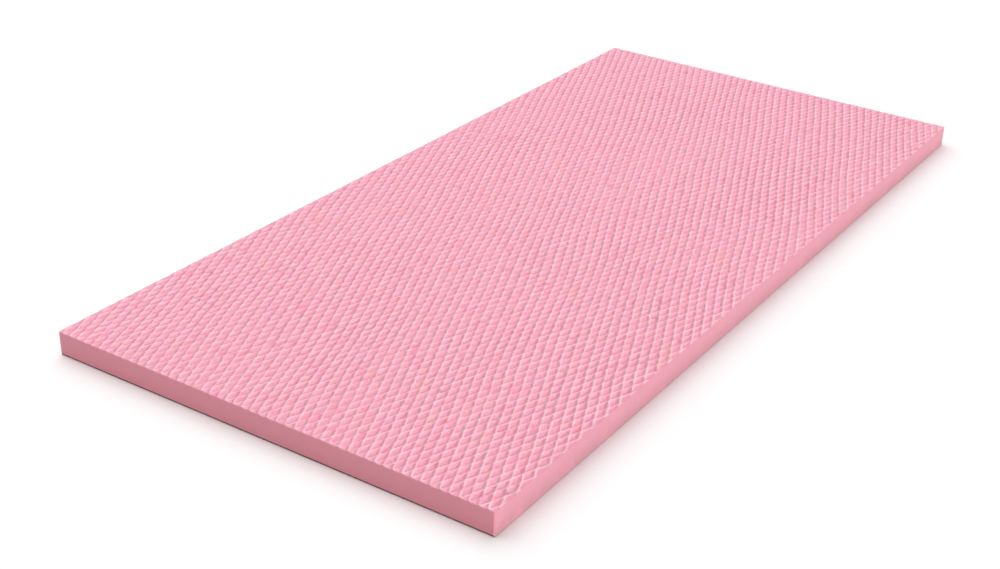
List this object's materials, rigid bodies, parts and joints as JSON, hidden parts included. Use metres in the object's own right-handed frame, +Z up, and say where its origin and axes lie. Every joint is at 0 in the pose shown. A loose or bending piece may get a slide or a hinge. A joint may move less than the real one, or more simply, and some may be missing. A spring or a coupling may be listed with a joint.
{
  "type": "extruded polystyrene board",
  "caption": "Flat rectangular rigid foam insulation board with straight butt edges and a waffle-embossed upper face, for lining walls, floors and plinths.",
  "frame": {"origin": "centre of the lower face, on the floor that the board lies on", "axes": "+X across the width, +Y along the length, +Z up through the thickness"},
  "size_m": [0.6, 1.25, 0.03],
  "materials": {
    "pink_foam": "matte"
  },
  "bodies": {
    "root": {"insulation_board": "pink_foam"}
  },
  "joints": []
}
